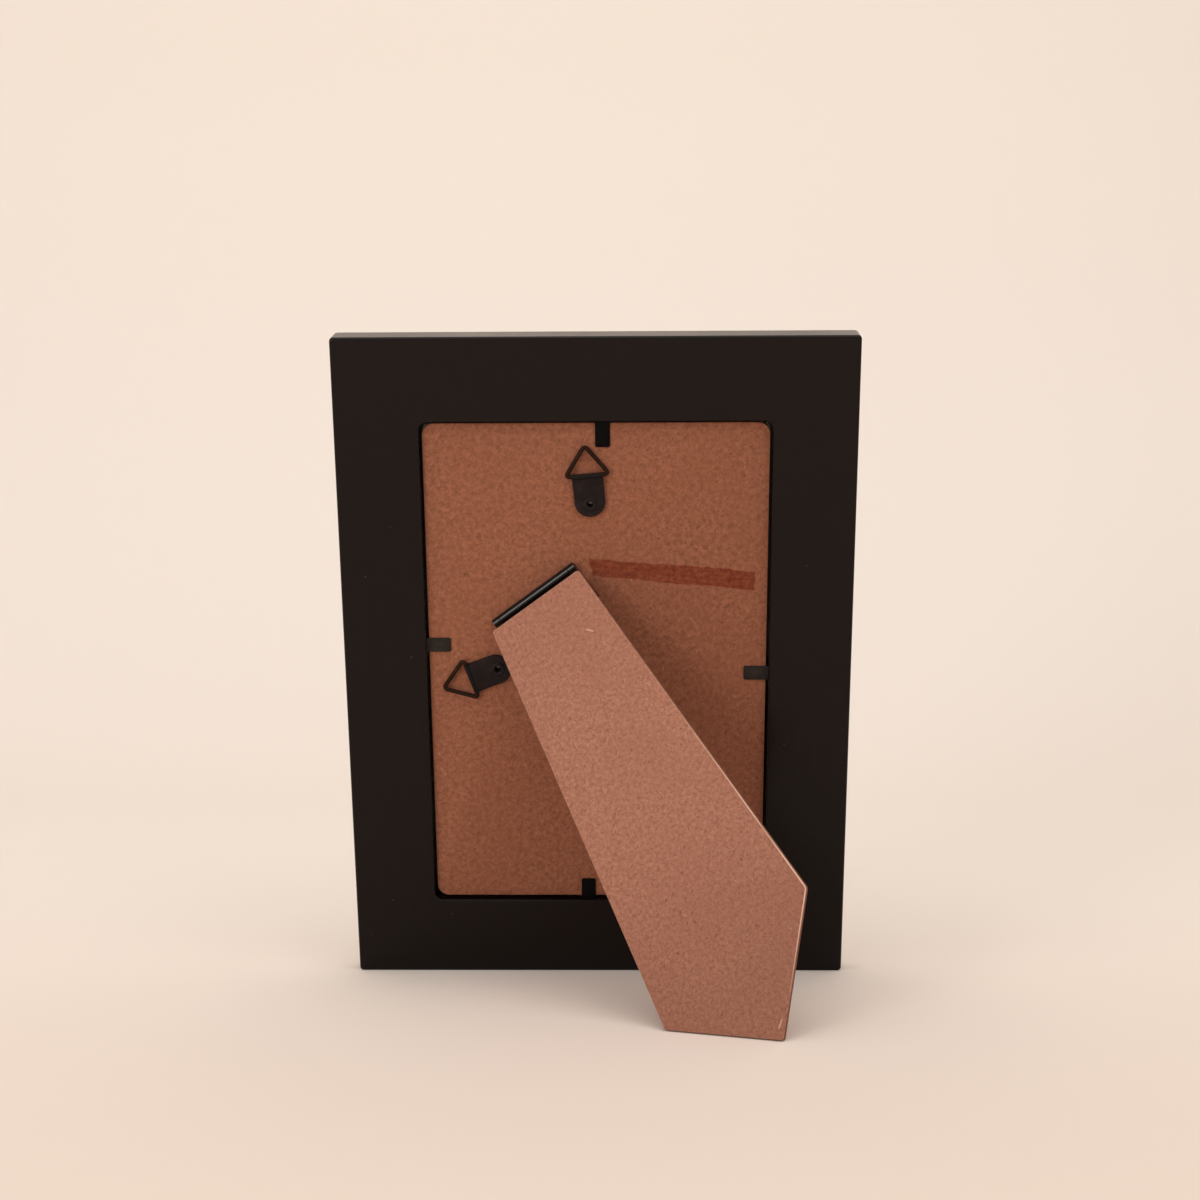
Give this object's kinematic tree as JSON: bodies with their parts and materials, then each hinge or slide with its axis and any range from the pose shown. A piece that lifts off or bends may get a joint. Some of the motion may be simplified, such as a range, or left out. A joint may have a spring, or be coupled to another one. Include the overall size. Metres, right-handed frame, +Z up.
{
  "type": "easel back photo frame",
  "caption": "Black photo frame with glass, a hardboard back held by bendable tabs, triangle-ring hangers and a hinged strut that stands it upright or on its side.",
  "frame": {"origin": "on the floor, below the middle of the standing frame, from side to side and front to back", "axes": "+Z up, the glass faces -Y and leans back, +Y towards the strut's foot"},
  "size_m": [0.154, 0.095, 0.1993],
  "materials": {
    "black_lacquer": "satin black lacquer on fibreboard",
    "clear_glass": "clear",
    "photo_paper": "blank, semi-matte",
    "panel_board": "bare hardboard",
    "strut_board": "bare hardboard",
    "black_steel": "black japanned sheet and wire"
  },
  "bodies": {
    "frame": {"frame_moulding": "black_lacquer", "glass_pane": "clear_glass", "photo_insert": "photo_paper", "back_panel": "panel_board", "hinge_panel_leaf": "black_steel", "hinge_pin": "black_steel", "hanger_top_rivet": "black_steel", "hanger_left_rivet": "black_steel", "tab_top_shank": "black_steel", "tab_left_shank": "black_steel", "tab_right_shank": "black_steel", "tab_bottom_shank": "black_steel"},
    "strut": {"easel_strut": "strut_board", "hinge_strut_leaf": "black_steel"},
    "hanger_top": {"hanger_top_strap": "black_steel"},
    "ring_top": {"hanger_top_ring": "black_steel"},
    "hanger_left": {"hanger_left_strap": "black_steel"},
    "ring_left": {"hanger_left_ring": "black_steel"},
    "tab_top": {"tab_top_leaf": "black_steel"},
    "tab_left": {"tab_left_leaf": "black_steel"},
    "tab_right": {"tab_right_leaf": "black_steel"},
    "tab_bottom": {"tab_bottom_leaf": "black_steel"}
  },
  "joints": [
    {"name": "strut_fold", "type": "hinge", "parent": "frame", "child": "strut", "pos_m": [0.0187, -0.00449, 0.12146], "axis": [-0.8018, 0.1547, 0.5773], "range_deg": [0, 31.5]},
    {"name": "hanger_top_swivel", "type": "hinge", "parent": "frame", "child": "hanger_top", "pos_m": [0.0018, 0.00126, 0.14901], "axis": [0, 0.9659, -0.2588], "range_deg": [-90, 90]},
    {"name": "ring_top_swing", "type": "hinge", "parent": "hanger_top", "child": "ring_top", "pos_m": [0.00257, 0.00475, 0.15715], "axis": [-0.9962, 0.0226, 0.0842], "range_deg": [0, 138]},
    {"name": "hanger_left_swivel", "type": "hinge", "parent": "frame", "child": "hanger_left", "pos_m": [0.0304, -0.01214, 0.09898], "axis": [0, 0.9659, -0.2588], "range_deg": [-70, 70]},
    {"name": "ring_left_swing", "type": "hinge", "parent": "hanger_left", "child": "ring_left", "pos_m": [0.03867, -0.01171, 0.09574], "axis": [0.342, 0.2432, 0.9077], "range_deg": [0, 138]},
    {"name": "tab_top_bend", "type": "hinge", "parent": "frame", "child": "tab_top", "pos_m": [-0.002, 0.00815, 0.17315], "axis": [1, 0, 0], "range_deg": [0, 85]},
    {"name": "tab_left_bend", "type": "hinge", "parent": "frame", "child": "tab_left", "pos_m": [0.052, -0.00978, 0.10621], "axis": [0, -0.2588, -0.9659], "range_deg": [0, 85]},
    {"name": "tab_right_bend", "type": "hinge", "parent": "frame", "child": "tab_right", "pos_m": [-0.052, -0.01216, 0.09733], "axis": [0, 0.2588, 0.9659], "range_deg": [0, 85]},
    {"name": "tab_bottom_bend", "type": "hinge", "parent": "frame", "child": "tab_bottom", "pos_m": [0.0034, -0.0317, 0.0244], "axis": [-1, 0, 0], "range_deg": [0, 85]}
  ]
}
